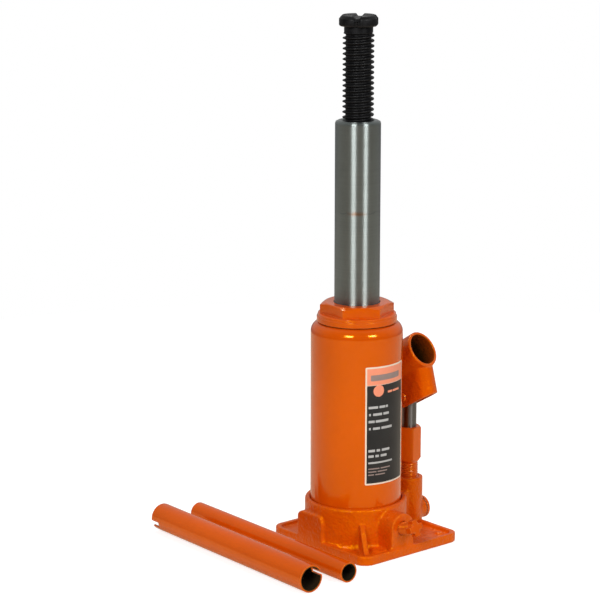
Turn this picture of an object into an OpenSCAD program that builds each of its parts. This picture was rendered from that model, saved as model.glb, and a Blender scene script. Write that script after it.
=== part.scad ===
// Hydraulic bottle jack with a long extension screw and a two-piece pump handle.
// Z up, the ram axis is the Z axis, z = 0 is the floor. The pump stands on the +X side,
// the release valve faces -Y and the blank lug faces -X.

/* [Base casting] */
// left edge of the foot plate
plate_x0 = -42; // [-60:1:-30]
// right edge of the foot plate
plate_x1 = 60.3; // [50:0.1:80]
// front edge of the foot plate
plate_y0 = -56.5; // [-70:0.5:-45]
// rear edge of the foot plate
plate_y1 = 54; // [45:0.5:70]
// radius of the foot plate's corners
plate_corner = 10; // [4:0.5:16]
// height of the raised rim round the foot plate
rim_h = 7.4; // [5:0.1:12]
// width of the raised rim
rim_w = 4.5; // [3:0.5:8]
// height of the sunken floor inside the rim
plate_floor = 4.6; // [3:0.1:8]
// radius of the collar that takes the tank
collar_r = 40; // [38:0.5:46]
// height of the collar's lip
collar_h = 36.4; // [30:0.2:45]
// floor of the cylinder seat
seat_z = 18; // [14:0.5:24]

/* [Tank and cylinder] */
// outside radius of the reservoir tank
tank_r = 35.7; // [30:0.1:45]
// wall of the reservoir tank
tank_wall = 2.5; // [1.5:0.1:4]
// lower end of the tank in its groove
tank_z0 = 32.8; // [28:0.1:36]
// top of the tank's shoulder
tank_z1 = 177.2; // [150:0.1:200]
// radius of the rounded shoulder
shoulder_r = 8; // [4:0.5:12]
// bore radius of the pressure cylinder
bore_r = 19; // [16:0.5:25]
// outside radius of the pressure cylinder
cyl_r = 24.5; // [22:0.5:30]

/* [Top nut] */
// across flats of the hexagon
nut_af = 50; // [40:0.5:60]
// radius of the round flange
flange_r = 31.1; // [28:0.1:36]
// top of the nut
nut_top = 192.4; // [180:0.1:210]
// top of the round flange
flange_top = 184; // [180:0.5:188]
// turn of the hexagon about the ram axis
nut_turn = 25.8; // [0:0.1:60]

/* [Ram and screw] */
// radius of the ram
ram_r = 17.5; // [12:0.1:22]
// top of the ram when it is fully raised
ram_top = 333; // [280:1:380]
// hydraulic lift
lift = 127; // [80:1:160]
// crest radius of the extension screw
screw_r = 12; // [9:0.1:15]
// root radius of the extension screw
screw_root = 9.7; // [7:0.1:12]
// pitch of the extension screw
pitch = 4; // [3:0.1:6]
// travel of the extension screw
screw_travel = 70; // [40:1:90]
// height of the screw head
head_h = 8.6; // [6:0.1:12]
// radius of the screw head
head_r = 15.5; // [12:0.1:20]

/* [Pump] */
// distance from the ram axis to the pump axis
pump_x = 56.6; // [50:0.1:70]
// radius of the pump boss on the casting
boss_r = 11.5; // [9:0.1:14]
// radius of the plug and its boss on the pump's outer side
plug_r = 8.9; // [7:0.1:10]
// distance from the pump axis to the plug boss's end
plug_x = 13.4; // [12:0.1:16]
// top of the pump boss
boss_z = 41.4; // [35:0.2:50]
// across flats of the pump cylinder's hexagon
pump_af = 17; // [14:0.5:24]
// top of the pump cylinder
pump_top = 82.6; // [70:0.2:95]
// radius of the pump plunger
plunger_r = 6; // [4:0.1:9]
// height of the pin through the plunger
pin_z = 107.6; // [95:0.1:120]

/* [Handle socket] */
// turn of the lever's plane about the pump axis
lever_yaw = 9.9; // [0:0.1:20]
// tilt of the socket above level at rest
tilt = 33.7; // [0:0.1:50]
// outside radius of the socket tube
socket_r = 15; // [12:0.1:18]
// bore radius of the socket tube
socket_bore = 12.5; // [10:0.1:15]
// length of the socket tube
socket_len = 60; // [40:1:80]
// height of the socket's axis over the plunger pin, square to the socket
socket_rise = 25.9; // [22:0.1:32]
// distance between the plunger pin and the fulcrum pin
pin_gap = 19; // [15:0.5:25]
// slope of the line between these two pins at rest
pin_slope = 13; // [0:1:25]
// half the outside width of the yoke
yoke_w = 8.9; // [7:0.1:12]
// wall of the yoke
yoke_wall = 2.5; // [2:0.1:4]

/* [Links] */
// thickness of each link plate
link_t = 3; // [2:0.1:5]
// height of the lower link pin
link_z = 34; // [26:0.5:40]
// radius of the fulcrum pin and the lower link pin
link_pin_r = 3.5; // [2.5:0.1:5]
// radius of the plunger pin
plunger_pin_r = 3; // [2:0.1:4]

/* [Release valve] */
// upward tilt of the valve screw
valve_tilt = 14; // [0:1:20]
// height of the valve screw at the boss face
valve_z = 22.5; // [18:0.5:28]
// place of the boss face
valve_y = -54.5; // [-60:0.5:-50]
// radius of the valve boss
valve_boss_r = 11.4; // [9:0.1:14]

/* [Loose handle] */
// outside radius of the large handle tube
big_r = 10.5; // [9:0.1:12]
// length of the large handle tube
big_len = 191; // [150:1:300]
// outside radius of the small handle tube
small_r = 7.8; // [6:0.1:9]
// length of the small handle tube
small_len = 189.5; // [150:0.5:300]
// width of the slots in the large tube's ends
slot_w = 4.8; // [3:0.1:7]

/* [Hidden] */
$fn = 96;
e = 0.01;

orange = [0.90, 0.35, 0.04];
steel = [0.55, 0.56, 0.55];
dark = [0.12, 0.12, 0.13];
rubber = [0.05, 0.05, 0.05];

groove_z = tank_z0 - 0.8;
sump_z = 26;
tank_in = tank_r - tank_wall;
stop_z = seat_z + lift + 14.3;
head_z0 = ram_top + screw_travel + 1.4;
fulcrum_y = pin_gap*cos(pin_slope);
fulcrum_z = pin_z - pin_gap*sin(pin_slope);
lug_y = fulcrum_y - 0.4;
link_x0 = yoke_w + 0.4;
link_x1 = link_x0 + link_t;
lug_w = yoke_w - 0.2;
ball_r = 2.5;
inlet_seat = 17.5;
outlet_seat = 20;
outlet_x = 43;
valve_turns = 2;

// frames -----------------------------------------------------------------
module pump_frame() { translate([pump_x, 0, 0]) rotate([0, 0, lever_yaw]) children(); }
module lever_frame() { pump_frame() translate([0, 0, pin_z]) rotate([-tilt, 0, 0]) children(); }
module valve_frame() {
  translate([0, valve_y, valve_z]) rotate([90 - valve_tilt, 0, 0]) children();
}
module across(w) { rotate([0, 90, 0]) translate([0, 0, -w/2]) children(); }
module rrect(x0, x1, y0, y1, r) {
  translate([x0 + r, y0]) square([x1 - x0 - 2*r, y1 - y0]);
  translate([x0, y0 + r]) square([x1 - x0, y1 - y0 - 2*r]);
  for (x = [x0 + r, x1 - r], y = [y0 + r, y1 - r]) translate([x, y]) circle(r);
}
module ring(ro, ri, z0, z1) {
  translate([0, 0, z0]) difference() {
    cylinder(r = ro, h = z1 - z0);
    translate([0, 0, -1]) cylinder(r = ri, h = z1 - z0 + 2);
  }
}
// coil of round wire, swept as short straight prisms along a helix
module coil(r, wire, turns, h) {
  n = 14;
  m = 6;
  steps = turns*n;
  pts = [for (i = [0:steps], j = [0:m - 1])
    let (a = 360*i/n, b = 360*j/m, q = r + wire*cos(b))
    [q*cos(a), q*sin(a), wire + (h - 2*wire)*i/steps + wire*sin(b)]];
  sides = [for (i = [0:steps - 1], j = [0:m - 1])
    let (k = (j + 1)%m)
    [i*m + j, i*m + k, (i + 1)*m + k, (i + 1)*m + j]];
  polyhedron(points = pts, faces = concat([[for (j = [m - 1:-1:0]) j]], sides,
    [[for (j = [0:m - 1]) steps*m + j]]));
}

// fixed parts ------------------------------------------------------------
module base_casting() {
  color(orange) difference() {
    union() {
      // foot plate with its raised rim
      difference() {
        linear_extrude(rim_h) rrect(plate_x0, plate_x1, plate_y0, plate_y1, plate_corner);
        translate([0, 0, plate_floor]) linear_extrude(rim_h)
          rrect(plate_x0 + rim_w, plate_x1 - rim_w, plate_y0 + rim_w, plate_y1 - rim_w,
            plate_corner - rim_w + 1);
      }
      // collar with a rounded lip and a spread foot
      rotate_extrude() polygon([[0, 0], [collar_r + 1.9, 0], [collar_r + 1.9, plate_floor + 0.6],
        [collar_r + 0.8, plate_floor + 2.2], [collar_r, plate_floor + 5],
        [collar_r, collar_h - 2], [collar_r - 0.5, collar_h - 0.8], [collar_r - 1.4, collar_h - 0.1],
        [collar_r - 2.2, collar_h], [0, collar_h]]);
      // boss of the release valve
      translate([0, valve_y, valve_z]) rotate([-90, 0, 0]) cylinder(r = valve_boss_r, h = 22);
      translate([-valve_boss_r, valve_y, 0]) cube([2*valve_boss_r, 22, valve_z]);
      // blank lug on the left
      translate([plate_x0, 7.4, 0]) rotate([90, 0, 90]) linear_extrude(16)
        rrect(-14.5, 14.5, -8, 28, 5.5);
      // gusset rib to the front left corner
      translate([-2.97, 1.74, 0]) rotate([0, 0, 239.7])
        rotate([90, 0, 0]) translate([0, 0, -2.1]) linear_extrude(4.2)
          polygon([[30, 0], [62, 0], [62, rim_h - 0.6], [58, rim_h + 0.4],
            [collar_r + 3, 23.2], [collar_r - 3, 26.6], [30, 26.6]]);
      // low pads on the sunken floor
      translate([-14.5, -42.5, 0]) cylinder(r = 6, h = plate_floor + 1.4);
      translate([49.5, -43.4, 0]) cylinder(r = 2.6, h = plate_floor + 1.5);
      // pump boss, its neck to the collar and the plug boss
      translate([pump_x, 0, 1.5]) cylinder(r = boss_r, h = boss_z - 1.5);
      translate([20, -9, 1.5]) cube([pump_x - 20, 15, 30]);
      translate([20, 0, 1.5]) cube([28, 15, 22]);
      translate([pump_x, 0, 12.5]) rotate([0, 90, 0]) cylinder(r = plug_r, h = plug_x);
      // lug for the lower link pin
      pump_frame() {
        translate([-lug_w, 4, 1.5]) cube([2*lug_w, lug_y + 7 - 4, link_z - 1.5]);
        translate([0, lug_y, link_z]) across(2*lug_w) cylinder(r = 7, h = 2*lug_w);
      }
    }
    // underside recess between the rim and the boss
    translate([0, 0, -1]) difference() {
      linear_extrude(3) rrect(plate_x0 + 8, plate_x1 - 8, plate_y0 + 8, plate_y1 - 8, 5);
      cylinder(r = 44.5, h = 9, center = true);
      translate([-20, plate_y0 - 1, -1]) cube([40, 20, 9]);
      translate([20, -20, -1]) cube([50, 50, 9]);
    }
    // trim the lug below the floor
    translate([plate_x0 - 5, -20, -20]) cube([40, 60, 20]);
    // cylinder seat, oil sump and the tank's groove
    translate([0, 0, seat_z]) cylinder(r = cyl_r + 0.1, h = 60);
    ring(33, 28.5, sump_z, 60);
    ring(36.05, tank_in - 0.4, groove_z, 60);
    translate([0, 0, collar_h - 3.4]) cylinder(r = 34, h = 20);
    // pressure port under the cylinder and its gallery from the outlet valve
    translate([0, 0, 8]) cylinder(r = 3, h = 20);
    translate([0, 0, 13]) rotate([0, 90, 0]) cylinder(r = 1.5, h = outlet_x);
    // outlet valve pocket, opened from below
    translate([outlet_x, 0, -1]) cylinder(r = 4.2, h = outlet_seat + 1);
    translate([outlet_x, 0, 8]) cylinder(r = 1.4, h = 17);
    translate([outlet_x, 0, 24.5]) rotate([0, 90, 0]) cylinder(r = 1.3, h = pump_x - outlet_x);
    // pump cylinder's thread and the inlet valve pocket
    translate([pump_x, 0, 28]) cylinder(r = 8.05, h = 30);
    translate([pump_x, 0, inlet_seat]) cylinder(r = 4.4, h = 20);
    translate([pump_x, 0, 11]) cylinder(r = 1.5, h = 10);
    // plug bore and the suction drilling
    translate([56, 0, 12.5]) rotate([0, 90, 0]) cylinder(r = 3, h = 12);
    translate([64.5, 0, 12.5]) rotate([0, 90, 0]) cylinder(r = 5.05, h = 20);
    translate([57.5, 0, 12]) rotate([0, 0, atan2(17.2, -32)]) rotate([0, 93.2, 0])
      cylinder(r = 1.6, h = 36.8);
    translate([25.5, 17.2, 10]) cylinder(r = 1.5, h = 20);
    // safety valve pocket and its return to the sump
    translate([0, 11, -1]) cylinder(r = 3.2, h = 15);
    translate([0, 11, 8]) cylinder(r = 1.1, h = 12);
    translate([0, 11, 9.5]) rotate([-90, 0, 0]) cylinder(r = 1.1, h = 20);
    translate([0, 30.5, 9]) cylinder(r = 1.2, h = 20);
    // release valve bore, ball pocket, seat and return
    valve_frame() {
      translate([0, 0, -24]) cylinder(r = 5.1, h = 40);
      translate([0, 0, -30]) cylinder(r = 3.2, h = 12);
      translate([0, 0, -53]) cylinder(r = 1.2, h = 30);
    }
    translate([0, -30.5, 15.5]) cylinder(r = 1.2, h = 14);
    // lower link pin's hole
    pump_frame() translate([0, lug_y, link_z]) across(60) cylinder(r = link_pin_r + 0.03, h = 60);
  }
}
module reservoir_tank() {
  color(orange) difference() {
    rotate_extrude() difference() {
      union() {
        translate([0, tank_z0]) square([tank_r, tank_z1 - shoulder_r - tank_z0]);
        square([tank_r - shoulder_r, tank_z1]);
        translate([tank_r - shoulder_r, tank_z1 - shoulder_r]) circle(shoulder_r);
      }
      translate([-1, -1]) square([tank_r + 2, tank_z0 + 1]);
      translate([-1, 0]) square([tank_in + 1, tank_z1 - shoulder_r]);
      translate([-1, 0]) square([tank_r - shoulder_r + 1, tank_z1 - tank_wall]);
      translate([tank_r - shoulder_r, tank_z1 - shoulder_r]) circle(shoulder_r - tank_wall);
      translate([-1, 0]) square([28.2 + 1, 300]);
      translate([-50, -1]) square([50, 400]);
    }
    translate([0, tank_r - 8, 150]) rotate([-90, 0, 0]) cylinder(r = 4.1, h = 20);
  }
}
module pressure_cylinder() { color(steel) ring(cyl_r, bore_r, seat_z + 0.6, 174); }
module top_nut() {
  color(orange) difference() {
    union() {
      // hexagon with its corners chamfered off above
      intersection() {
        translate([0, 0, flange_top - 4]) rotate([0, 0, nut_turn])
          cylinder(r = nut_af/sqrt(3), h = nut_top - flange_top + 4, $fn = 6);
        rotate_extrude() polygon([[0, flange_top - 5], [30, flange_top - 5],
          [30, nut_top - 2.6], [nut_af/2 - 0.6, nut_top], [0, nut_top]]);
      }
      // stepped round flange
      rotate_extrude() polygon([[0, tank_z1 + 0.5], [flange_r, tank_z1 + 0.5],
        [flange_r, flange_top - 2.8], [flange_r - 0.8, flange_top - 2.2],
        [flange_r - 0.8, flange_top - 0.6], [flange_r - 1.6, flange_top], [0, flange_top]]);
      // threaded skirt over the cylinder
      translate([0, 0, 161]) cylinder(r = 27.9, h = 18);
      translate([0, 0, stop_z]) cylinder(r = bore_r - 0.08, h = 30);
    }
    // room for the cylinder's end
    difference() {
      translate([0, 0, 150]) cylinder(r = cyl_r + 0.06, h = 24.05);
      translate([0, 0, 140]) cylinder(r = bore_r - 0.08, h = 60);
    }
    translate([0, 0, 140]) cylinder(r = ram_r + 0.06, h = 80);
    translate([0, 0, nut_top - 4.4]) cylinder(r = ram_r + 2.6, h = 3.2);
    translate([0, 0, nut_top - 3]) cylinder(r = ram_r + 0.6, h = 10);
    ring(ram_r + 1.15, 10, 168, 170.6);
  }
}
module tank_top_gasket() { color(rubber) ring(flange_r - 0.9, 28.3, tank_z1, tank_z1 + 0.5); }
module tank_bottom_gasket() { color(rubber) ring(tank_r, tank_in, groove_z, tank_z0); }
module cylinder_gasket() { color([0.7, 0.4, 0.2]) ring(cyl_r, bore_r, seat_z, seat_z + 0.6); }
module ram_wiper() {
  color(rubber) rotate_extrude() polygon([[ram_r + 0.05, nut_top - 4.3],
    [ram_r + 2.5, nut_top - 4.3], [ram_r + 2.5, nut_top - 1.3], [ram_r + 0.5, nut_top - 1.3],
    [ram_r + 0.5, nut_top - 0.7], [ram_r + 0.05, nut_top - 0.4]]);
}
module ram_o_ring() { color(rubber) ring(ram_r + 1.1, ram_r + 0.03, 168.1, 170.5); }
module front_label() {
  color([0.2, 0.2, 0.21]) rotate([0, 0, -121.7])
    rotate_extrude(angle = 65.6) translate([tank_r, 54]) square([0.16, 94.2]);
}
module oil_filler_plug() {
  color(rubber) translate([0, tank_r, 150]) rotate([-90, 0, 0]) {
    translate([0, 0, -4.4]) cylinder(r = 4, h = 5);
    translate([0, 0, 0.05]) cylinder(r = 6.2, h = 1.5);
    translate([0, 0, 1.5]) cylinder(r1 = 5.6, r2 = 4.2, h = 1.4);
    translate([0, 0, -4.9]) cylinder(r1 = 3.4, r2 = 4, h = 0.6);
  }
}
module suction_strainer() {
  color([0.75, 0.6, 0.3]) translate([25.5, 17.2, sump_z]) {
    difference() {
      cylinder(r = 2.1, h = 3.2);
      translate([0, 0, -1]) cylinder(r = 1.6, h = 3.6);
    }
  }
}
module pump_cylinder() {
  color(orange) difference() {
    union() {
      intersection() {
        translate([0, 0, 50]) rotate([0, 0, lever_yaw]) translate([pump_x*cos(lever_yaw),
          -pump_x*sin(lever_yaw), 0]) cylinder(r = pump_af/sqrt(3), h = pump_top - 50, $fn = 6);
        translate([pump_x, 0, 0]) rotate_extrude() polygon([[0, 52], [7.2, 53],
          [pump_af/sqrt(3) + 0.4, 57.6], [pump_af/sqrt(3) + 0.4, pump_top - 1.6],
          [pump_af/2 + 0.1, pump_top], [0, pump_top]]);
      }
      // threaded neck, drawn as shallow ridges
      translate([pump_x, 0, 0]) rotate_extrude() {
        square_h = 1.5;
        translate([0, 28.6]) square([7.0, 25.4]);
        for (i = [0:6]) translate([0, 42.4 + square_h*i]) polygon([[0, -0.1], [7, -0.1],
          [7.55, 0.45], [7.55, 0.75], [7, 1.3], [0, 1.3]]);
      }
      translate([pump_x, 0, 28.6]) cylinder(r = 8, h = 12.4);
    }
    translate([pump_x, 0, 31.5]) cylinder(r = plunger_r + 0.05, h = 60);
    translate([pump_x, 0, 20]) cylinder(r = 1.8, h = 30);
    translate([pump_x, 0, pump_top - 6.6]) cylinder(r = plunger_r + 1.6, h = 3.4);
  }
}
module pump_washer() { color([0.7, 0.4, 0.2]) translate([pump_x, 0, 0]) ring(8, 4.6, 28, 28.6); }
module plunger_seal() {
  color(rubber) translate([pump_x, 0, 0])
    ring(plunger_r + 1.55, plunger_r + 0.03, pump_top - 6.5, pump_top - 3.3);
}
module valve_plug() {
  color(orange) translate([pump_x + plug_x, 0, 12.5]) rotate([0, 90, 0]) difference() {
    union() {
      translate([0, 0, -5.2]) cylinder(r = 5, h = 5.8);
      translate([0, 0, 0.6]) cylinder(r = plug_r, h = 2);
      translate([0, 0, 2.6]) cylinder(r1 = plug_r, r2 = plug_r - 1.2, h = 1);
    }
    translate([0, 0, 1.4]) rotate([0, 0, 30]) cylinder(r = 3, h = 5, $fn = 6);
  }
}
module valve_plug_washer() {
  color([0.7, 0.4, 0.2]) translate([pump_x + plug_x, 0, 12.5]) rotate([0, 90, 0])
    ring(plug_r - 0.3, 5.1, 0, 0.6);
}
module outlet_plug() {
  color(dark) translate([outlet_x, 0, 0.8]) difference() {
    cylinder(r = 4.15, h = 5.2);
    translate([0, 0, -1]) cylinder(r = 2, h = 3.6, $fn = 6);
  }
}
module safety_screw() {
  color(dark) translate([0, 11, 0.6]) difference() {
    cylinder(r = 3.15, h = 2.6);
    translate([-4, -0.5, -1]) cube([8, 1, 1.8]);
  }
}
module inlet_ball() {
  color(steel) translate([pump_x, 0, inlet_seat + 2.02]) sphere(ball_r);
}
module outlet_ball() {
  color(steel) translate([outlet_x, 0, outlet_seat - 2.1]) sphere(ball_r);
}
module safety_ball() { color(steel) translate([0, 11, 14 - 1.75]) sphere(2); }
module inlet_spring() {
  color(steel) translate([pump_x, 0, inlet_seat + 4.6]) coil(1.7, 0.35, 5, 6.4);
}
module outlet_spring() {
  color(steel) translate([outlet_x, 0, 6.02]) coil(1.7, 0.35, 7, 9.2);
}
module safety_spring() {
  color(steel) translate([0, 11, 3.22]) coil(1.4, 0.4, 5, 6.9);
}

// ram and screw ------------------------------------------------------------
module ram() {
  color(steel) rotate_extrude() polygon([[13.6, stop_z - 0.3], [ram_r, stop_z - 0.3],
    [ram_r, ram_top - 2.1], [ram_r - 0.5, ram_top - 0.8], [ram_r - 2.1, ram_top],
    [screw_r + 0.9, ram_top], [screw_r + 0.1, ram_top - 0.8],
    [screw_r + 0.1, ram_top - 18], [13.6, ram_top - 18]]);
}
module piston_head() {
  z = stop_z - 0.3;
  color(steel) union() {
    translate([0, 0, z - 8]) cylinder(r = bore_r - 0.06, h = 8);
    translate([0, 0, z - 0.01]) cylinder(r = 13.55, h = 13.3);
    translate([0, 0, z - 13]) cylinder(r = 8, h = 5.5);
  }
}
module piston_cup() {
  z = stop_z - 8.3;
  color(rubber) rotate_extrude() polygon([[8.05, z], [bore_r - 0.03, z], [bore_r - 0.03, z - 3.4],
    [bore_r - 1.2, z - 3.4], [bore_r - 2.2, z - 1.6], [14.4, z - 1.6], [14.4, z - 3.2],
    [8.05, z - 3.2]]);
}
module piston_nut() {
  z = stop_z - 8.3 - 3.2;
  color(steel) translate([0, 0, z - 1.75]) difference() {
    cylinder(r = 13, h = 1.75, $fn = 6);
    translate([0, 0, -1]) cylinder(r = 8.05, h = 4);
  }
}
module extension_screw() {
  z0 = ram_top - 24;
  n = floor((head_z0 - 5 - z0 - 4.4)/pitch);
  color(dark) difference() {
    union() {
      // plain neck, rounded ridges of the thread and the ring's groove at the foot
      translate([0, 0, head_z0 - 5.2]) cylinder(r = 11, h = 5.4);
      translate([0, 0, z0]) cylinder(r = screw_root, h = head_z0 - z0);
      translate([0, 0, z0]) cylinder(r = screw_r - 0.8, h = 1.2);
      rotate_extrude() for (i = [0:n - 1]) translate([0, z0 + 4.6 + pitch*i])
        polygon([[0, 0], [screw_root, 0], [screw_root + 1.5, 0.55], [screw_r - 0.1, 1.15],
          [screw_r, 1.6], [screw_r, 1.9], [screw_r - 0.1, 2.35], [screw_root + 1.5, 2.95],
          [screw_root, 3.5], [0, 3.5]]);
      // head with rounded edges
      rotate_extrude() polygon([[0, head_z0], [head_r - 1.4, head_z0], [head_r - 0.4, head_z0 + 0.4],
        [head_r, head_z0 + 1.4], [head_r, head_z0 + head_h - 2], [head_r - 0.6, head_z0 + head_h - 0.8],
        [head_r - 2, head_z0 + head_h], [0, head_z0 + head_h]]);
    }
    // cross groove that divides the head into four lobes
    for (a = [41.8, 131.8]) rotate([0, 0, a]) translate([-30, -2.4, head_z0 + head_h - 2.6])
      cube([60, 4.8, 10]);
    for (a = [41.8:90:360]) rotate([0, 0, a]) translate([head_r + 0.7, 0, head_z0 - 1])
      cylinder(r = 2.6, h = 20);
  }
}
module screw_stop_ring() {
  z = ram_top - 24 + 1.3;
  color(steel) difference() {
    ring(13.3, screw_root + 0.06, z, z + 2.4);
    translate([0, -2, z - 1]) cube([20, 4, 6]);
  }
}

// pump, lever and links ------------------------------------------------------
module pump_plunger() {
  color(steel) difference() {
    translate([pump_x, 0, 45]) rotate_extrude() polygon([[0, 0], [plunger_r - 0.6, 0],
      [plunger_r, 0.6], [plunger_r, pin_z - 45 + 4.4], [plunger_r - 1.6, pin_z - 45 + 6],
      [0, pin_z - 45 + 6]]);
    pump_frame() translate([0, 0, pin_z]) across(30) cylinder(r = plunger_pin_r + 0.05, h = 30);
  }
}
module plunger_pin() {
  color(steel) lever_frame() {
    across(2*yoke_w + 1.2) cylinder(r = plunger_pin_r, h = 2*yoke_w + 2.6);
    translate([-yoke_w - 1.3, 0, 0]) rotate([0, 90, 0]) cylinder(r1 = 2.9, r2 = 3.7, h = 1.2);
  }
}
module fulcrum_pin() {
  color(steel) pump_frame() translate([0, fulcrum_y, fulcrum_z]) {
    across(2*link_x1 + 1.2) cylinder(r = link_pin_r, h = 2*link_x1 + 2.8);
    translate([-link_x1 - 1.3, 0, 0]) rotate([0, 90, 0]) cylinder(r1 = 4.2, r2 = 5, h = 1.2);
  }
}
module lower_link_pin() {
  color(steel) pump_frame() translate([0, lug_y, link_z]) {
    across(2*link_x1 + 1.2) cylinder(r = link_pin_r, h = 2*link_x1 + 2.8);
    translate([-link_x1 - 1.6, 0, 0]) rotate([0, 90, 0]) cylinder(r1 = 5.4, r2 = 6.2, h = 1.2);
  }
}
module clip(rp, x, ro) {
  translate([x, 0, 0]) rotate([0, 90, 0]) difference() {
    cylinder(r = ro, h = 0.9);
    translate([0, 0, -1]) cylinder(r = rp + 0.02, h = 3);
    translate([0, -1.6, -1]) cube([20, 3.2, 3]);
  }
}
module lever_pin_clips() {
  color(dark) {
    lever_frame() clip(plunger_pin_r, yoke_w + 0.3, 4.8);
    pump_frame() translate([0, fulcrum_y, fulcrum_z]) clip(link_pin_r, link_x1 + 0.4, 5.6);
  }
}
module lower_pin_clip() {
  color(dark) pump_frame() translate([0, lug_y, link_z]) clip(link_pin_r, link_x1 + 0.6, 6.2);
}
module handle_socket() {
  color(orange) lever_frame() translate([0, -33, socket_rise]) rotate([-90, 0, 0]) difference() {
    rotate_extrude() polygon([[0, 0.7], [socket_r - 0.7, 0], [socket_r, 0.7],
      [socket_r, socket_len - 1.5], [socket_r - 1.5, socket_len], [0, socket_len]]);
    translate([0, 0, -1]) cylinder(r = socket_bore, h = socket_len - 3);
  }
}
module yoke_side() {
  // outline of the cheeks seen along the pins: +x forward, +y up
  f = [-pin_gap*cos(tilt - pin_slope), pin_gap*sin(tilt - pin_slope)];
  polygon([[34, 30], [34, -9.3], [28.6, -9.3], [-4, -7.7], [f[0] + 4, f[1] - 8.4],
    [f[0] - 2, f[1] - 7.7], [f[0] - 6, f[1] - 5.2], [f[0] - 7.8, f[1] - 1.6], [f[0] - 8, 30]]);
}
module yoke_plan(w) {
  translate([-40, -w]) square([40 + 17.3, 2*w]);
  translate([17.3, 0]) circle(w);
}
module lever_yoke() {
  color(orange) lever_frame() difference() {
    intersection() {
      rotate([90, 0, -90]) translate([0, 0, -20]) linear_extrude(40) yoke_side();
      rotate([20, 0, 0]) translate([0, 0, -40]) rotate([0, 0, -90]) linear_extrude(90)
        difference() { yoke_plan(yoke_w); yoke_plan(yoke_w - yoke_wall); }
    }
    translate([0, -40, socket_rise]) rotate([-90, 0, 0]) cylinder(r = socket_r, h = 90);
    translate([-20, -70, socket_rise - 6]) cube([40, 120, 40]);
    translate([-20, -70, -20]) cube([40, 70 - 33, 70]);
    across(40) cylinder(r = plunger_pin_r + 0.02, h = 40);
    translate([0, pin_gap*cos(tilt - pin_slope), pin_gap*sin(tilt - pin_slope)])
      across(40) cylinder(r = link_pin_r + 0.02, h = 40);
  }
}
module link_plates() {
  color(orange) pump_frame() for (s = [-1, 1])
    translate([s == 1 ? link_x0 : -link_x1, fulcrum_y, 0]) rotate([90, 0, 90])
      linear_extrude(link_t) difference() {
        union() {
          translate([-5.5, link_z]) square([11, fulcrum_z - link_z]);
          translate([0, fulcrum_z]) circle(7);
          translate([0, link_z]) circle(8);
        }
        translate([0, fulcrum_z]) circle(link_pin_r + 0.05);
        translate([0, link_z]) circle(link_pin_r + 1.4);
      }
}

// release valve --------------------------------------------------------------
module release_valve_screw() {
  color(orange) valve_frame() difference() {
    union() {
      translate([0, 0, -23.6]) cylinder(r = 4.3, h = 34);
      translate([0, 0, -25.2]) cylinder(r = 2.6, h = 2);
      translate([0, 0, -23.6]) cylinder(r = 5, h = 2);
      translate([0, 0, -18.9]) cylinder(r = 5, h = 3);
      rotate_extrude() for (i = [0:16]) translate([0, -15.4 + 1.5*i])
        polygon([[0, -0.1], [4.3, -0.1], [5, 0.5], [5, 0.8], [4.3, 1.4], [0, 1.4]]);
      // cross-shaped key that the slotted handle end fits over
      translate([0, 0, 10.2]) {
        translate([0, 0, -0.5]) cylinder(r = 4.6, h = 5.2);
        for (a = [0, 90]) rotate([0, 0, a + 10]) translate([-6.4, -2.2, 0]) cube([12.8, 4.4, 5.2]);
      }
    }
  }
}
module release_valve_o_ring() {
  color(rubber) valve_frame() ring(5.05, 4.32, -21.5, -19);
}
module release_valve_ball() {
  color(steel) valve_frame() translate([0, 0, -27.75]) sphere(ball_r);
}

// loose handle tubes -----------------------------------------------------------
module handle_large_tube() {
  color(orange) translate([-99.6, 119.7, big_r]) rotate([0, 0, -92.6]) rotate([0, 90, 0])
    difference() {
      cylinder(r = big_r, h = big_len);
      translate([0, 0, -1]) cylinder(r = big_r - 1.6, h = big_len + 2);
      // slot across the far end, slot in one wall at the near end
      rotate([0, 0, 20]) translate([-slot_w/2, -20, -1]) cube([slot_w, 40, 10]);
      rotate([0, 0, 20]) translate([-slot_w/2, 0, big_len - 10.7]) cube([slot_w, 20, 12]);
    }
}
module handle_small_tube() {
  color(orange) translate([-65.1, 116.8, small_r]) rotate([0, 0, -92.2]) rotate([0, 90, 0])
    difference() {
      cylinder(r = small_r, h = small_len);
      translate([0, 0, -1]) cylinder(r = small_r - 1.5, h = small_len + 2);
    }
}

base_casting();
reservoir_tank();
pressure_cylinder();
top_nut();
tank_top_gasket();
tank_bottom_gasket();
cylinder_gasket();
ram_wiper();
ram_o_ring();
ram();
piston_head();
piston_cup();
piston_nut();
extension_screw();
screw_stop_ring();
pump_cylinder();
pump_washer();
plunger_seal();
pump_plunger();
plunger_pin();
fulcrum_pin();
lower_link_pin();
lever_pin_clips();
lower_pin_clip();
handle_socket();
lever_yoke();
link_plates();
release_valve_screw();
release_valve_o_ring();
release_valve_ball();
inlet_ball();
inlet_spring();
outlet_ball();
outlet_spring();
outlet_plug();
safety_ball();
safety_spring();
safety_screw();
valve_plug();
valve_plug_washer();
oil_filler_plug();
suction_strainer();
handle_large_tube();
handle_small_tube();
front_label();
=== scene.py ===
import math
import bpy
import bmesh
import numpy as np
from mathutils import Matrix, Vector, noise


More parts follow.
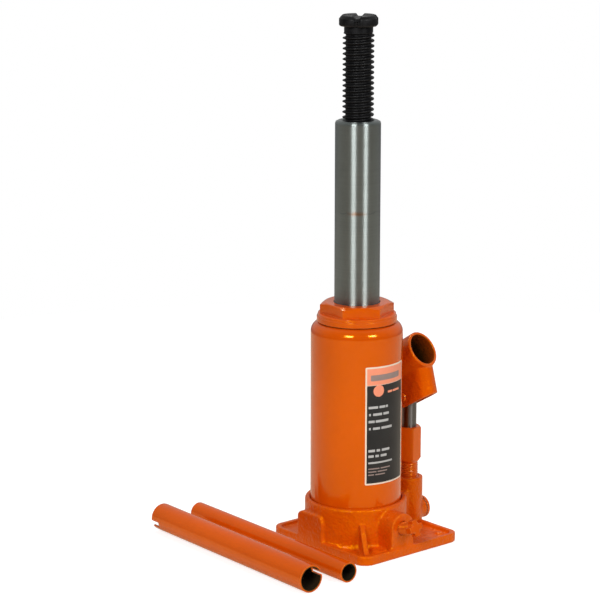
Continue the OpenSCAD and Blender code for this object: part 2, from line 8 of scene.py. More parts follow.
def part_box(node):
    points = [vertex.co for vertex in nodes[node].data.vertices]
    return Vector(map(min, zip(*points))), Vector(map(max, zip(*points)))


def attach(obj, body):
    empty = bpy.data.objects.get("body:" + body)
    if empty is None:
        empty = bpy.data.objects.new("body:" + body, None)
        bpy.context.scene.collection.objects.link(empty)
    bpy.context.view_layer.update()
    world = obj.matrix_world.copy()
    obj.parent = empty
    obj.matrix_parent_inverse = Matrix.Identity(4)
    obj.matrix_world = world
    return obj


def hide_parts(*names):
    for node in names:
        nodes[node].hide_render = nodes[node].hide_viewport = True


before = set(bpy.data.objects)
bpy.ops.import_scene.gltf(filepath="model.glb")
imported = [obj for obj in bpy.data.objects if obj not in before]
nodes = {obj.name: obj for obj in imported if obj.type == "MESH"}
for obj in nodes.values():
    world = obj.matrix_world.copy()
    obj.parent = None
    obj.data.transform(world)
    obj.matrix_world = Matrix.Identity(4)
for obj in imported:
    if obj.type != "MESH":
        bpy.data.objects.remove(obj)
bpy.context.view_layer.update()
MM = 0.001

# ---------------------------------------------------------------- camera
CAMERA_AT = Vector((-1.19159357, -1.31556323, 0.58981017))
LOOK = Vector((0.63706, 0.73930, -0.21814)).normalized()
SIDE = LOOK.cross(Vector((0, 0, 1))).normalized()
CAMERA_RIGHT = Vector((0.75767, -0.65264, 0.00083)).normalized()
SENSOR_MM = 36.0
LENS_MM = 141.459


def make_camera():
    data = bpy.data.cameras.new("camera")
    data.sensor_width = SENSOR_MM
    data.lens = LENS_MM
    data.clip_start, data.clip_end = 0.05, 30.0
    cam = bpy.data.objects.new("camera", data)
    bpy.context.scene.collection.objects.link(cam)
    up = CAMERA_RIGHT.cross(LOOK).normalized()
    rot = Matrix((CAMERA_RIGHT, up, -LOOK)).transposed()
    cam.matrix_world = Matrix.Translation(CAMERA_AT) @ rot.to_4x4()
    bpy.context.scene.camera = cam


# ---------------------------------------------------------------- node helper
BEVEL_SAMPLES = 6


class Tree:
    """A material with a Principled shader, and short ways to add nodes to it."""

    def __init__(self, name):
        self.mat = bpy.data.materials.new(name)
        self.mat.use_nodes = True
        self.nt = self.mat.node_tree
        self.nt.nodes.clear()
        self.out = self.nt.nodes.new("ShaderNodeOutputMaterial")
        self.bsdf = self.nt.nodes.new("ShaderNodeBsdfPrincipled")
        self.nt.links.new(self.bsdf.outputs[0], self.out.inputs[0])
        self._where = None

    def node(self, kind, inputs=None, **attrs):
        n = self.nt.nodes.new(kind)
        for k, v in attrs.items():
            setattr(n, k, v)
        for k, v in (inputs or {}).items():
            self.put(n.inputs[k], v)
        return n

    def put(self, socket, value):
        if isinstance(value, bpy.types.NodeSocket):
            self.nt.links.new(value, socket)
        elif isinstance(value, bpy.types.Node):
            self.nt.links.new(value.outputs[0], socket)
        else:
            socket.default_value = value

    def set(self, **values):
        for k, v in values.items():
            self.put(self.bsdf.inputs[k.replace("_", " ")], v)

    def where(self):
        if self._where is None:
            self._where = self.node("ShaderNodeTexCoord").outputs["Object"]
        return self._where

    def math(self, op, a, b=0.0):
        return self.node("ShaderNodeMath", {0: a, 1: b}, operation=op).outputs[0]

    def product(self, a, b):
        return self.math("MULTIPLY", a, b)

    def vector(self, op, a, b=None, out=0):
        inputs = {0: a} if b is None else {0: a, 1: b}
        return self.node("ShaderNodeVectorMath", inputs, operation=op).outputs[out]

    def scaled(self, sx, sy, sz, rot=(0, 0, 0)):
        """Object coordinates with their own scale along each axis."""
        return self.node("ShaderNodeMapping", {"Vector": self.where(), "Scale": (sx, sy, sz),
                                               "Rotation": rot}).outputs[0]

    def noise(self, scale, detail=2.0, rough=0.5, vector=None):
        return self.node("ShaderNodeTexNoise", {"Vector": vector or self.where(), "Scale": scale,
                                                "Detail": detail, "Roughness": rough}).outputs[0]

    def voronoi(self, scale):
        inputs = {"Vector": self.where(), "Scale": scale}
        return self.node("ShaderNodeTexVoronoi", inputs).outputs[0]

    def span(self, value, a, b, c=0.0, d=1.0):
        """Maps a..b to c..d and holds the ends."""
        return self.node("ShaderNodeMapRange", {0: value, 1: a, 2: b, 3: c, 4: d}).outputs[0]

    def mix(self, fac, a, b):
        n = self.node("ShaderNodeMix", {0: fac}, data_type="RGBA")
        for i, v in ((6, a), (7, b)):
            self.put(n.inputs[i], (*v, 1.0) if isinstance(v, tuple) else v)
        return n.outputs[2]

    def bump(self, height, distance, strength=1.0, normal=None):
        n = self.node("ShaderNodeBump", {"Height": height, "Distance": distance,
                                         "Strength": strength})
        if normal is not None:
            self.put(n.inputs["Normal"], normal)
        return n.outputs[0]

    def bevel(self, radius):
        return self.node("ShaderNodeBevel", {"Radius": radius}, samples=BEVEL_SAMPLES).outputs[0]

    def edges(self, radius=0.0009, low=0.015, high=0.14):
        """1 on sharp edges, 0 on open faces."""
        soft = self.bevel(radius)
        real = self.node("ShaderNodeNewGeometry").outputs["Normal"]
        dot = self.vector("DOT_PRODUCT", soft, real, "Value")
        return self.span(self.math("SUBTRACT", 1.0, dot), low, high)


# ---------------------------------------------------------------- materials
PAINT_DEEP = (0.60, 0.070, 0.0004)
PAINT_LIGHT = (0.70, 0.086, 0.0008)
PAINT_MOTTLE = (0.50, 0.058, 0.0004)
# Pale orange on the edges: thinned paint and a painted highlight.
PAINT_THIN_AND_HIGHLIGHT = (0.82, 0.25, 0.06)
PAINT_SPECK = (0.30, 0.05, 0.006)
PAINT_GLINT = (1.0, 0.43, 0.0, 1.0)
BARE_IRON = (0.16, 0.14, 0.13)
PAINT_IOR = 1.62
COAT_ROUGH = 0.05


def shaded(colour, factor):
    """The colour scaled by the factor, no channel above 1."""
    return tuple(min(1.0, c * factor) for c in colour)


def painted_bore_shade(t, tone, rough, inner):
    """Paints shade into a tube's inside: a dark colour, stronger deeper in. inner holds its mouth,
    axis, radius, shade colour and depth.
    """
    start, along, radius, colour, depth = inner
    off = t.vector("SUBTRACT", t.where(), start)
    dist = t.vector("LENGTH", t.vector("CROSS_PRODUCT", off, along), out="Value")
    down = t.vector("DOT_PRODUCT", off, along, "Value")
    # Painted shade: a dark colour inside the bore, 0.62 strong at the mouth and full from 14 mm in,
    # mottled by noise.
    inside = t.span(dist, radius - 0.00015, radius + 0.0001, 1.0, 0.0)
    inside = t.product(inside, t.span(down, depth, depth + 0.0005, 1.0, 0.0))
    inside = t.product(inside, t.span(down, 0.0, 0.014, 0.62, 1.0))
    mottled_shade = t.mix(t.span(t.noise(55.0, 4.0, 0.6), 0.35, 0.7), colour, shaded(colour, 0.45))
    return t.mix(inside, tone, mottled_shade), t.math("ADD", rough, t.product(inside, 0.3))


def paint(name, cast=0.0, edge=0.0006, inner=None, coat=0.04):
    """Orange enamel: orange peel, faint tone changes, thinned edges that are also lightened as a
    painted highlight, and a few chips.

    cast adds the lumps and pits of a casting, edge is the bevel radius, inner paints shade into a
    bore."""
    t = Tree(name)
    tone = t.mix(t.span(t.noise(9.0, 3.0), 0.35, 0.68), PAINT_DEEP, PAINT_LIGHT)
    tone = t.mix(t.span(t.noise(140.0, 4.0, 0.6), 0.3, 0.75, 0.0, 0.22), tone, PAINT_MOTTLE)
    # Sharp edges are paler: thinned paint, and also a painted highlight; chips go on the same
    # edges.
    edge_wear_and_highlight = t.edges(0.0022, 0.008, 0.10) if cast else t.edges()
    breakup = t.span(t.noise(260.0, 4.0, 0.7), 0.36, 0.62)
    thin_paint_and_highlight = t.product(edge_wear_and_highlight, t.product(breakup, 0.5 if cast else 0.42))
    tone = t.mix(thin_paint_and_highlight, tone, PAINT_THIN_AND_HIGHLIGHT)
    chips = t.product(edge_wear_and_highlight, t.span(t.noise(520.0, 5.0, 0.75), 0.66, 0.70))
    chips = t.product(chips, t.span(t.noise(38.0, 2.0), 0.52, 0.60))
    tone = t.mix(chips, tone, BARE_IRON)
    specks = t.span(t.noise(900.0, 2.0, 0.5), 0.735, 0.76)
    tone = t.mix(t.product(specks, 0.35), tone, PAINT_SPECK)
    normal = t.bevel(edge)
    if cast:
        normal = t.bump(t.noise(85.0, 5.0, 0.55), 0.0026 * cast, 0.8, normal)
        normal = t.bump(t.voronoi(420.0), 0.00045 * cast, 0.6, normal)
    normal = t.bump(t.noise(430.0, 3.0, 0.5), 0.00009, 0.8, normal)
    normal = t.bump(t.noise(60.0, 2.0, 0.5), 0.0004, 0.35, normal)
    rough = t.span(t.noise(70.0, 3.0), 0.3, 0.7, 0.09 + 0.20 * cast, 0.15 + 0.24 * cast)
    if inner is not None:
        tone, rough = painted_bore_shade(t, tone, rough, inner)
    t.set(Base_Color=tone, Roughness=rough, Normal=normal, Coat_Normal=t.bevel(edge),
          Specular_IOR_Level=1.0, Specular_Tint=PAINT_GLINT, IOR=PAINT_IOR,
          Coat_Weight=coat, Coat_Roughness=COAT_ROUGH)
    return t.mat


STAIN_Z = 0.2637
SMEAR_AT = (-0.0119, -0.0128, STAIN_Z)
RUST = (0.30, 0.135, 0.06)
RADIAL_TURN = 0.25


def stained(t, tone, base):
    """A thin dark ring round the ram and a brown smear on it."""
    z = t.node("ShaderNodeSeparateXYZ", {0: t.where()}).outputs[2]
    waver = t.product(t.math("SUBTRACT", t.noise(160.0, 3.0), 0.5), 0.004)
    near = t.math("ABSOLUTE", t.math("SUBTRACT", t.math("ADD", z, waver), STAIN_Z))
    line = t.product(t.span(near, 0.0, 0.0009, 1.0, 0.0), t.span(t.noise(70.0, 3.0), 0.30, 0.6))
    tone = t.mix(t.product(line, 0.35), tone, shaded(base, 0.45))
    spot = t.vector("DISTANCE", t.where(), SMEAR_AT, "Value")
    smear = t.product(t.span(spot, 0.001, 0.009, 1.0, 0.0), t.span(near, 0.0, 0.0022, 1.0, 0.0))
    return t.mix(t.product(smear, 0.8), tone, RUST)


def ground_steel(name, base, rough, aniso, stain=False):
    """Steel turned and ground round its axis: fine rings, dull patches, streaks along the axis."""
    t = Tree(name)
    rings = t.noise(1.0, 3.0, 0.65, vector=t.scaled(6.0, 6.0, 5200.0))
    wide = t.noise(1.0, 2.0, 0.5, vector=t.scaled(3.0, 3.0, 420.0))
    patch = t.noise(38.0, 4.0, 0.6)
    dull = (base[0] * 0.80, base[1] * 0.80, base[2] * 0.74)
    tone = t.mix(t.span(rings, 0.3, 0.7), shaded(base, 0.86), shaded(base, 1.12))
    tone = t.mix(t.span(wide, 0.35, 0.7, 0.0, 0.35), tone, shaded(base, 0.82))
    tone = t.mix(t.span(patch, 0.45, 0.75, 0.0, 0.25), tone, dull)
    if stain:
        tone = stained(t, tone, base)
    normal = t.bump(rings, 0.000012, 0.7, t.bevel(0.0004))
    normal = t.bump(wide, 0.00003, 0.3, normal)
    # Sharp edges lightened toward a brighter copy of the steel: a painted highlight.
    tone = t.mix(t.product(t.edges(0.0006), 0.5), tone, shaded(base, 1.5))
    tangent = t.node("ShaderNodeTangent", direction_type="RADIAL", axis="Z").outputs[0]
    t.set(Base_Color=tone, Roughness=t.span(patch, 0.3, 0.75, rough, rough + 0.09), Normal=normal,
          Metallic=1.0, Anisotropic=aniso, Anisotropic_Rotation=RADIAL_TURN, Tangent=tangent)
    return t.mat


def plain_steel(name, base):
    """Plain machined steel for pins, balls and springs."""
    t = Tree(name)
    patch = t.noise(120.0, 4.0, 0.6)
    tone = t.mix(t.span(patch, 0.35, 0.7), base, shaded(base, 0.72))
    # Sharp edges lightened toward a brighter copy of the steel: a painted highlight.
    tone = t.mix(t.product(t.edges(0.0005), 0.5), tone, shaded(base, 1.4))
    normal = t.bump(t.noise(1400.0, 3.0, 0.6), 0.00002, 0.6, t.bevel(0.0003))
    t.set(Base_Color=tone, Roughness=t.span(patch, 0.3, 0.7, 0.32, 0.46), Normal=normal,
          Metallic=1.0)
    return t.mat


def black_oxide(name):
    """Satin black oxide with grey rub marks on the crests."""
    t = Tree(name)
    patch = t.noise(210.0, 4.0, 0.6)
    tone = t.mix(t.span(patch, 0.35, 0.7), (0.0025, 0.0025, 0.003), (0.007, 0.007, 0.0075))
    rub = t.product(t.edges(0.0007, 0.02, 0.2), t.span(t.noise(330.0, 5.0, 0.7), 0.44, 0.66))
    tone = t.mix(t.product(rub, 0.55), tone, (0.085, 0.083, 0.080))
    normal = t.bump(t.noise(700.0, 3.0, 0.6), 0.00006, 0.7, t.bevel(0.0004))
    normal = t.bump(t.noise(160.0, 3.0, 0.6), 0.0002, 0.4, normal)
    t.set(Base_Color=tone, Roughness=t.span(patch, 0.3, 0.7, 0.34, 0.50), Normal=normal,
          Specular_IOR_Level=0.2)
    return t.mat


def rubber(name):
    """Dull black rubber, paler on its edges as a painted highlight."""
    t = Tree(name)
    patch = t.noise(300.0, 4.0, 0.6)
    tone = t.mix(patch, (0.012, 0.012, 0.012), (0.028, 0.027, 0.026))
    tone = t.mix(t.product(t.edges(0.0006), 0.4), tone, (0.07, 0.068, 0.065))
    normal = t.bump(t.noise(1200.0, 2.0), 0.00005, 0.6, t.bevel(0.0004))
    t.set(Base_Color=tone, Roughness=t.span(patch, 0.3, 0.7, 0.55, 0.72), Normal=normal)
    return t.mat


def soft_metal(name, base):
    """Copper or brass, tarnished in patches."""
    t = Tree(name)
    patch = t.noise(190.0, 4.0, 0.6)
    tone = t.mix(t.span(patch, 0.35, 0.7), base, shaded(base, 0.6))
    # Sharp edges lightened toward a brighter copy of the metal: a painted highlight.
    tone = t.mix(t.product(t.edges(0.0005), 0.5), tone, shaded(base, 1.3))
    normal = t.bump(t.noise(900.0, 3.0), 0.00003, 0.6, t.bevel(0.0003))
    t.set(Base_Color=tone, Roughness=t.span(patch, 0.3, 0.7, 0.3, 0.48), Normal=normal,
          Metallic=1.0)
    return t.mat


def print_ink(name, colour, faded):
    """Printed film: slight fading, fine grain and small scuffs."""
    t = Tree(name)
    fade = t.span(t.noise(45.0, 4.0, 0.6), 0.35, 0.7)
    tone = t.mix(fade, colour, faded)
    scratches = t.scaled(240.0, 240.0, 1500.0, (0.3, 0.4, 0))
    scuff = t.span(t.noise(1.0, 4.0, 0.7, vector=scratches), 0.70, 0.74)
    tone = t.mix(t.product(scuff, 0.25), tone, (0.45, 0.44, 0.42))
    normal = t.bump(t.noise(1500.0, 2.0), 0.00002, 0.6)
    normal = t.bump(t.noise(120.0, 2.0), 0.00012, 0.35, normal)
    t.set(Base_Color=tone, Roughness=t.span(fade, 0.0, 1.0, 0.34, 0.42), Normal=normal,
          Specular_IOR_Level=0.25, Coat_Weight=0.06, Coat_Roughness=0.14)
    return t.mat


# ---------------------------------------------------------------- mesh helpers
def new_object(name, mesh, materials, smooth=True):
    o = bpy.data.objects.new(name, mesh)
    bpy.context.scene.collection.objects.link(o)
    for m in materials:
        o.data.materials.append(m)
    if smooth:
        smooth_shaded(o.data)
    return o


def baked(obj):
    """Replaces the object's mesh by the evaluated one and removes its modifiers."""
    dg = bpy.context.evaluated_depsgraph_get()
    mesh = bpy.data.meshes.new_from_object(obj.evaluated_get(dg), depsgraph=dg)
    old = obj.data
    obj.modifiers.clear()
    obj.data = mesh
    if old.users == 0:
        bpy.data.meshes.remove(old)
    return obj


def joined_copy(name, sources):
    """One mesh from the CAD meshes of several nodes, which stay as they are."""
    bm = bmesh.new()
    for s in sources:
        bm.from_mesh(nodes[s].data)
    bmesh.ops.remove_doubles(bm, verts=bm.verts, dist=1e-6)
    mesh = bpy.data.meshes.new(name)
    bm.to_mesh(mesh)
    bm.free()
    mesh.materials.clear()
    return mesh


def smooth_shaded(mesh):
    mesh.polygons.foreach_set("use_smooth", [True] * len(mesh.polygons))


def sink_lumps(mesh, depth, seed):
    """Moves every vertex inwards by up to the depth, so that the surface stays inside the CAD's."""
    n = len(mesh.vertices)
    at, out = np.zeros(n * 3), np.zeros(n * 3)
    mesh.vertices.foreach_get("co", at)
    mesh.vertex_normals.foreach_get("vector", out)
    at, out = at.reshape(-1, 3), out.reshape(-1, 3)
    shift = Vector((seed, 3.1, 7.7))
    d = np.array([noise.noise(Vector(p) * 110.0 + shift) * 0.7
                  + noise.noise(Vector(p) * 310.0) * 0.3 for p in at])
    at -= out * ((0.5 + 0.5 * d) * depth)[:, None]
    mesh.vertices.foreach_set("co", at.ravel())
    mesh.update()


def cast_copy(name, sources, material, voxel, smooth, lumps, seed=0.0):
    """A remeshed, softened copy of CAD nodes, as a casting or a weld leaves them."""
    o = new_object(name, joined_copy(name, sources), [material])
    r = o.modifiers.new("remesh", "REMESH")
    r.mode = "VOXEL"
    r.voxel_size = voxel
    s = o.modifiers.new("smooth", "SMOOTH")
    s.factor = 0.5
    s.iterations = smooth
    baked(o)
    sink_lumps(o.data, lumps, seed)
    smooth_shaded(o.data)
    o.data.materials.clear()
    o.data.materials.append(material)
    return o


def grid_mesh(name, rows):
    """A closed solid from rings of points; each ring has the same count."""
    n = len(rows[0])
    verts = [p for r in rows for p in r]
    faces = []
    for i in range(len(rows) - 1):
        for j in range(n):
            k = (j + 1) % n
            faces.append((i * n + j, i * n + k, (i + 1) * n + k, (i + 1) * n + j))
    faces.append(tuple(reversed(range(n))))
    faces.append(tuple((len(rows) - 1) * n + j for j in range(n)))
    mesh = bpy.data.meshes.new(name)
    mesh.from_pydata(verts, [], faces)
    mesh.validate()
    return mesh


# ---------------------------------------------------------------- extension screw
# Sizes of the screw and its head in millimetres, angles in degrees.
CREST_R, ROOT_R, NECK_R = 12.0, 9.7, 11.0
PITCH, CREST_Z, THREAD_PHASE = 4.0, 379.4, math.radians(139.3)
RING_POINTS, RING_STEP = 96, 0.22
HEAD_R, HEAD_HEIGHT, HEAD_OVERLAP = 15.5, 8.6, 0.3
HEAD_POINTS = 160
GROOVES = [math.radians(41.8 + 90 * k) for k in range(4)]
HEAD_SIDE = ((10.0, 0.0), (13.2, 0.0), (14.4, 0.12), (15.1, 0.55), (15.5, 1.5), (15.5, 4.2))
HEAD_TOP = (15.5, 15.42, 15.2, 14.9, 14.4, 13.6, 12.6, 11.4, 10, 8.5, 7, 5.5, 4, 2.6, 1.3, 0.5)


def smoothstep(a, b, x):
    t = min(1.0, max(0.0, (x - a) / (b - a)))
    return t * t * (3 - 2 * t)


def on_circle(r, a, z):
    """A point in metres from a radius and height in millimetres."""
    return (r * math.cos(a) * MM, r * math.sin(a) * MM, z * MM)


def thread_radius(a, z, z0, head0):
    """Radius of the helical thread, with a plain neck above it and a chamfered foot below."""
    if z < z0 + 1.2:
        return CREST_R - 0.8 - 0.5 * smoothstep(z0 + 0.5, z0, z)
    u = ((z - CREST_Z) / PITCH - (a - THREAD_PHASE) / (2 * math.pi)) % 1.0
    crest = abs(u - 0.5) * 2.0          # 1 on the crest, 0 in the root
    r = ROOT_R + (CREST_R - ROOT_R) * smoothstep(0.22, 0.86, crest)
    neck = smoothstep(head0 - 6.4, head0 - 4.6, z)
    r = r * (1 - neck) + NECK_R * neck
    foot = smoothstep(z0 + 5.2, z0 + 3.8, z)
    return r * (1 - foot) + ROOT_R * foot


def extension_screw(material):
    """The real right-handed thread, in place of the CAD's parallel ridges."""
    low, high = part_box("extension_screw")
    z0, z_top = low.z * 1000, high.z * 1000
    head0 = z_top - HEAD_HEIGHT
    length = head0 + HEAD_OVERLAP - z0
    steps = int(length / RING_STEP)
    turn = [2 * math.pi * j / RING_POINTS for j in range(RING_POINTS)]
    rows = []
    for i in range(steps + 1):
        z = z0 + length * i / steps
        rows.append([on_circle(thread_radius(a, z, z0, head0), a, z) for a in turn])
    bm = bmesh.new()
    for piece in (grid_mesh("screw_shaft", rows), screw_head(head0, z_top)):
        bm.from_mesh(piece)
        bpy.data.meshes.remove(piece)
    mesh = bpy.data.meshes.new("extension_screw_threaded")
    bm.to_mesh(mesh)
    bm.free()
    return new_object("extension_screw_threaded", mesh, [material])


def head_outline(a):
    """Radius of the forged head: a round with four notches."""
    near = min(abs((a - g + math.pi) % (2 * math.pi) - math.pi) for g in GROOVES)
    notch = 2.0 * math.exp(-((near / math.radians(9.0)) ** 2))
    return HEAD_R - notch - 0.25 * math.cos(4 * (a - GROOVES[0])) - 0.25


def head_drop(a, r):
    """How far the head's top lies below its highest point: cross groove, dome and rounded rim."""
    drop = 0.0
    for g in GROOVES[:2]:
        drop = max(drop, 1.9 * (1 - smoothstep(1.5, 3.6, abs(r * math.sin(a - g)))))
    return drop + 0.35 * (r / 15.0) ** 4 + 2.2 * smoothstep(12.2, 15.6, r) ** 2


def screw_head(z0, z1):
    """Forged head: four rounded lobes, a shallow cross groove on top."""
    turn = [2 * math.pi * j / HEAD_POINTS for j in range(HEAD_POINTS)]
    rows = [[on_circle(pr + head_outline(a) - HEAD_R, a, z0 + pz) for a in turn]
            for pr, pz in HEAD_SIDE]
    for pr in HEAD_TOP:
        edge = 0.6 if pr == HEAD_R else 0.0
        rows.append([on_circle(pr * head_outline(a) / HEAD_R, a, z1 - head_drop(a, pr) - edge)
                     for a in turn])
    return grid_mesh("screw_head", rows)


# ---------------------------------------------------------------- label
# Heights in millimetres above the floor, lengths along the film, angles in degrees round the tank.
TANK_R = 35.7
LABEL_A0, LABEL_A1, LABEL_Z0, LABEL_Z1 = -121.0, -56.1, 54.8, 148.2
LABEL_EDGE, HEADER_Z0, FIELD_Z1 = 1.25, 133.9, 133.6
FILM, BLOCK, PRINT = (0.0, 0.07), (0.05, 0.10), (0.09, 0.13)     # each layer's inner and outer face
CORNER_STEPS, FLAT_STEP = 6, 0.8
CREAM, DARK, SALMON, WHITE, GREY = range(5)
BARS = (  # height of the middle, thickness, ink, ends of each bar
    (116.3, 1.9, WHITE, ((2.6, 10.4), (11.6, 16.9), (17.4, 19.6))),
    (110.7, 1.9, WHITE, ((3.0, 4.4), (6.2, 14.0), (15.2, 20.6))),
    (105.2, 1.9, WHITE, ((2.6, 7.6), (8.4, 20.2))),
    (99.6, 1.9, WHITE, ((3.0, 4.4), (6.2, 12.2), (13.4, 24.0))),
    (82.0, 1.9, WHITE, ((2.6, 8.0), (9.4, 12.4), (14.0, 21.6))),
    (77.6, 1.9, WHITE, ((2.6, 7.0), (8.4, 11.4), (13.0, 18.6))),
    (72.4, 1.4, WHITE, ((2.6, 24.8),)),
    (67.6, 0.9, GREY, ((2.6, 12.0), (13.0, 22.4))),
    (65.2, 0.9, GREY, ((2.6, 9.4), (10.4, 19.4))),
    (62.8, 0.9, GREY, ((2.6, 7.4), (8.4, 17.2))),
)


def patch_stations(u0, u1, corner):
    """Places along a patch: close together in its rounded corners, even between them."""
    n = max(2, int((u1 - u0 - 2 * corner) / FLAT_STEP))
    flat = [u0 + corner + (u1 - u0 - 2 * corner) * i / n for i in range(1, n)]
    if not corner:
        return [u0] + flat + [u1]
    bend = [corner * (1 - math.cos(t * math.pi / (2 * CORNER_STEPS)))
            for t in range(CORNER_STEPS + 1)]
    return [u0 + b for b in bend] + flat + [u1 - b for b in reversed(bend)]


def label(radius, materials):
    """Printed film on the tank: plain blocks and bars only, no lettering."""
    per_mm = 180.0 / (math.pi * radius)
    width = (LABEL_A1 - LABEL_A0) / per_mm
    verts, faces, inks = [], [], []

    def patch(u0, u1, v0, v1, corner, layer, ink):
        us = patch_stations(u0, u1, corner)
        base = len(verts)
        for u in us:
            d = min(u - u0, u1 - u)
            inset = 0.0
            if corner and d < corner:
                inset = corner - math.sqrt(max(0.0, corner ** 2 - (corner - d) ** 2))
            a = math.radians(LABEL_A0 + u * per_mm)
            for h in layer:
                for v in (v0 + inset, v1 - inset):
                    verts.append(on_circle(radius + h, a, v))
        quads = []
        for k in range(len(us) - 1):
            b, c = base + 4 * k, base + 4 * (k + 1)
            quads += [(b + 2, c + 2, c + 3, b + 3), (b, b + 1, c + 1, c), (b, c, c + 2, b + 2),
                      (b + 1, b + 3, c + 3, c + 1)]
        e = base + 4 * (len(us) - 1)
        quads += [(base, base + 2, base + 3, base + 1), (e, e + 1, e + 3, e + 2)]
        faces.extend(quads)
        inks.extend([ink] * len(quads))

    left, right = LABEL_EDGE, width - LABEL_EDGE
    patch(0, width, LABEL_Z0, LABEL_Z1, 1.0, FILM, CREAM)
    patch(left, right, LABEL_Z0 + LABEL_EDGE, FIELD_Z1, 0.0, BLOCK, DARK)
    patch(left, right, HEADER_Z0, LABEL_Z1 - LABEL_EDGE, 0.0, BLOCK, SALMON)
    patch(4.2, 33.5, 137.2, 141.8, 0.8, PRINT, GREY)        # plain bar on the header
    patch(6.4, 15.6, 124.6, 133.8, 4.6, PRINT, SALMON)      # round badge
    for u0, u1 in ((19.5, 24.0), (24.8, 33.5)):             # two bars beside it
        patch(u0, u1, 126.6, 128.2, 0.3, PRINT, SALMON)
    for z, h, ink, ends in BARS:
        for u0, u1 in ends:
            patch(u0, u1, z - h / 2, z + h / 2, min(0.35, h * 0.3), PRINT, ink)
    mesh = bpy.data.meshes.new("label_print")
    mesh.from_pydata(verts, [], faces)
    mesh.validate()
    o = new_object("label_print", mesh, materials, smooth=False)
    for p, ink in zip(o.data.polygons, inks):
        p.material_index = ink
    return o


# ---------------------------------------------------------------- stage and light
FLOOR_R, FLOOR_POINTS, FLOOR_Z = 0.85, 96, -0.0004
FLOOR_GLOW = 0.46         # extra light that only the camera sees, so that the floor is white
FLOOR_BOUNCE = 0.28
FLOOR_MIRRORED = (1.0, 0.60, 0.12)
WORLD_FRONT, WORLD_BACK = 0.17, 0.45
WORLD_BELOW = 0.25
LAMPS = (  # name, azimuth, elevation, width, height, watts
    ("key_left", -22.5, 30.0, 0.50, 0.5, 13.0),
    ("key_right", 41.5, 30.0, 0.45, 0.45, 11.5),
    ("top_back", 180.0, 63.0, 0.62, 0.5, 6.5),
)
LAMP_DISTANCE = 1.5
LAMP_TARGET = Vector((0, 0, 0.2))


def make_stage():
    """A round pale floor that looks warm in the paint's reflections."""
    turn = [2 * math.pi * i / FLOOR_POINTS for i in range(FLOOR_POINTS)]
    mesh = bpy.data.meshes.new("floor")
    mesh.from_pydata([(FLOOR_R * math.cos(a), FLOOR_R * math.sin(a), 0.0) for a in turn], [],
                     [tuple(range(FLOOR_POINTS))])
    t = Tree("pale_floor")
    path = t.node("ShaderNodeLightPath").outputs
    t.set(Base_Color=(0.5, 0.5, 0.5, 1), Roughness=0.9, Specular_IOR_Level=0.0,
          Emission_Color=t.mix(path["Is Glossy Ray"], (1.0, 1.0, 1.0), FLOOR_MIRRORED),
          Emission_Strength=t.math("ADD", FLOOR_BOUNCE,
                                   t.product(path["Is Camera Ray"], FLOOR_GLOW)))
    floor = new_object("floor", mesh, [t.mat], smooth=False)
    floor.location = (0.0, 0.0, FLOOR_Z)


def make_world():
    """White to the camera. Everything else gets a dim studio, brighter behind the object."""
    w = bpy.data.worlds.new("studio")
    bpy.context.scene.world = w
    w.use_nodes = True
    nt = w.node_tree
    nt.nodes.clear()

    def node(kind, inputs=None, **attrs):
        n = nt.nodes.new(kind)
        for k, v in attrs.items():
            setattr(n, k, v)
        for k, v in (inputs or {}).items():
            if isinstance(v, bpy.types.NodeSocket):
                nt.links.new(v, n.inputs[k])
            else:
                n.inputs[k].default_value = v
        return n.outputs

    direction = node("ShaderNodeTexCoord")["Generated"]
    flat = Vector((LOOK.x, LOOK.y, 0)).normalized()
    ahead = node("ShaderNodeVectorMath", {0: direction, 1: (flat.x, flat.y, 0.25)},
                 operation="DOT_PRODUCT")["Value"]
    level = node("ShaderNodeMapRange", {0: ahead, 1: -0.35, 2: 0.45,
                                        3: WORLD_FRONT, 4: WORLD_BACK})[0]
    height = node("ShaderNodeSeparateXYZ", {0: direction})[2]
    ground = node("ShaderNodeMapRange", {0: height, 1: -0.25, 2: 0.15, 3: WORLD_BELOW, 4: 1.0})[0]
    strength = node("ShaderNodeMath", {0: level, 1: ground}, operation="MULTIPLY")[0]
    white = (1, 1, 1, 1)
    lit = node("ShaderNodeBackground", {0: white, 1: strength})[0]
    seen = node("ShaderNodeBackground", {0: white, 1: 1.0})[0]
    camera = node("ShaderNodeLightPath")["Is Camera Ray"]
    node("ShaderNodeOutputWorld", {0: node("ShaderNodeMixShader", {0: camera, 1: lit, 2: seen})[0]})


def softbox(name, azimuth, elevation, width, height, power):
    """Azimuth is counted from the camera's side, positive towards its right."""
    front = Vector((-LOOK.x, -LOOK.y, 0)).normalized()
    right = Vector((SIDE.x, SIDE.y, 0)).normalized()
    a, e = math.radians(azimuth), math.radians(elevation)
    d = (front * math.cos(a) + right * math.sin(a)) * math.cos(e) + Vector((0, 0, 1)) * math.sin(e)
    data = bpy.data.lights.new(name, "AREA")
    data.shape = "RECTANGLE"
    data.size = width
    data.size_y = height
    data.energy = power
    o = bpy.data.objects.new(name, data)
    bpy.context.scene.collection.objects.link(o)
    o.location = LAMP_TARGET + d * LAMP_DISTANCE
    o.rotation_mode = "QUATERNION"
    o.rotation_quaternion = (-d).to_track_quat("-Z", "Y")


make_camera()
make_world()
make_stage()
for lamp in LAMPS:
    softbox(*lamp)

# ---------------------------------------------------------------- assign
def tube_bore_shade(mouth, degrees, radius, colour):
    """The painted shade inside a tube that lies level and points away from its mouth."""
    a = math.radians(degrees)
    return (Vector(mouth), Vector((math.cos(a), math.sin(a), 0)), radius, colour, 0.3)


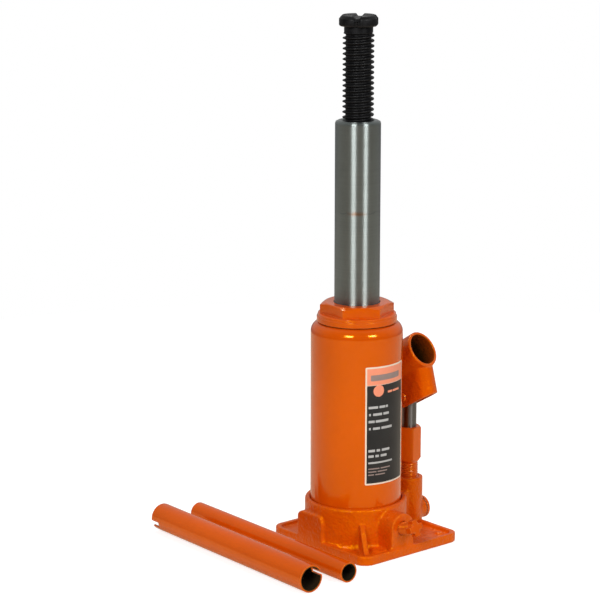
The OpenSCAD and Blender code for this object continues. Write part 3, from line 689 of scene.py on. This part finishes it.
# Painted shade in each bore: its mouth, axis, radius, dark colour and depth.
SOCKET_BORE_SHADE = (Vector((0.05885, -0.01289, 0.14746)), Vector((-0.1430, 0.8196, -0.5548)), 0.0128,
                 (0.030, 0.010, 0.003), 0.0575)
LARGE_TUBE_SHADE = tube_bore_shade((-0.0996, 0.1197, 0.0105), -92.6, 0.0095, (0.018, 0.014, 0.010))
SMALL_TUBE_SHADE = tube_bore_shade((-0.0651, 0.1168, 0.0078), -92.2, 0.0068, (0.014, 0.014, 0.010))

MAT = {
    "paint": paint("orange_enamel", coat=0.24),
    "paint_cast": paint("orange_enamel_cast", cast=1.0, edge=0.0003),
    "lever": paint("orange_enamel_lever", cast=0.6, edge=0.0003, inner=SOCKET_BORE_SHADE),
    "big": paint("orange_tube_large", edge=0.0003, inner=LARGE_TUBE_SHADE),
    "small": paint("orange_tube_small", edge=0.0003, inner=SMALL_TUBE_SHADE),
    "ram": ground_steel("ram_ground_steel", (0.30, 0.335, 0.327), 0.36, 1.0, stain=True),
    "plunger": ground_steel("plunger_steel", (0.18, 0.172, 0.168), 0.34, 0.9),
    "steel": plain_steel("plain_steel", (0.46, 0.46, 0.45)),
    "black": black_oxide("black_oxide_satin"),
    "rubber": rubber("moulded_rubber"),
    "copper": soft_metal("soft_copper", (0.72, 0.33, 0.16)),
    "brass": soft_metal("gauze_brass", (0.72, 0.52, 0.22)),
}
USE = {
    "paint": ["reservoir_tank", "top_nut", "pump_cylinder", "link_plates", "release_valve_screw",
              "valve_plug", "handle_socket", "lever_yoke", "plunger_pin", "fulcrum_pin",
              "lower_link_pin"],
    "paint_cast": ["base_casting"],
    "ram": ["ram"],
    "plunger": ["pump_plunger", "pressure_cylinder"],
    "steel": ["piston_head", "piston_nut", "screw_stop_ring", "release_valve_ball", "inlet_ball",
              "outlet_ball", "safety_ball", "inlet_spring", "outlet_spring", "safety_spring"],
    "black": ["extension_screw", "lever_pin_clips", "lower_pin_clip", "outlet_plug",
              "safety_screw"],
    "rubber": ["tank_top_gasket", "tank_bottom_gasket", "ram_wiper", "ram_o_ring", "piston_cup",
               "plunger_seal", "release_valve_o_ring", "oil_filler_plug"],
    "copper": ["cylinder_gasket", "pump_washer", "valve_plug_washer"],
    "brass": ["suction_strainer"],
    "big": ["handle_large_tube"],
    "small": ["handle_small_tube"],
}
for key, names in USE.items():
    for n in names:
        o = nodes[n]
        if not o.material_slots:
            o.data.materials.append(MAT[key])
        for s in o.material_slots:
            s.material = MAT[key]

# ---------------------------------------------------------------- pieces
screw = extension_screw(MAT["black"])
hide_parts("extension_screw")
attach(screw, "screw_body")

film = label(TANK_R, [
    print_ink("film_cream", (0.80, 0.66, 0.52), (0.72, 0.58, 0.45)),
    print_ink("film_dark", (0.014, 0.014, 0.014), (0.022, 0.022, 0.021)),
    print_ink("film_salmon", (0.86, 0.29, 0.165), (0.80, 0.26, 0.145)),
    print_ink("film_white", (0.46, 0.45, 0.43), (0.38, 0.37, 0.35)),
    print_ink("film_grey", (0.30, 0.22, 0.19), (0.24, 0.18, 0.16)),
])
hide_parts("front_label")
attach(film, "jack_base")

# The export thinned this mesh out at a 0.75 mm voxel, and leaves it whole at 0.85 mm.
base = cast_copy("base_casting_cast", ["base_casting"], MAT["paint_cast"],
                 voxel=0.00085, smooth=4, lumps=0.00018)
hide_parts("base_casting")
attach(base, "jack_base")

lever = cast_copy("lever_welded", ["handle_socket", "lever_yoke"], MAT["lever"],
                  voxel=0.0005, smooth=5, lumps=0.00008, seed=4.0)
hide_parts("handle_socket", "lever_yoke")
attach(lever, "lever_body")

scene = bpy.context.scene
scene.view_settings.view_transform = "Standard"
scene.view_settings.look = "None"
scene.view_settings.exposure = 0.0
scene.view_settings.gamma = 1.0
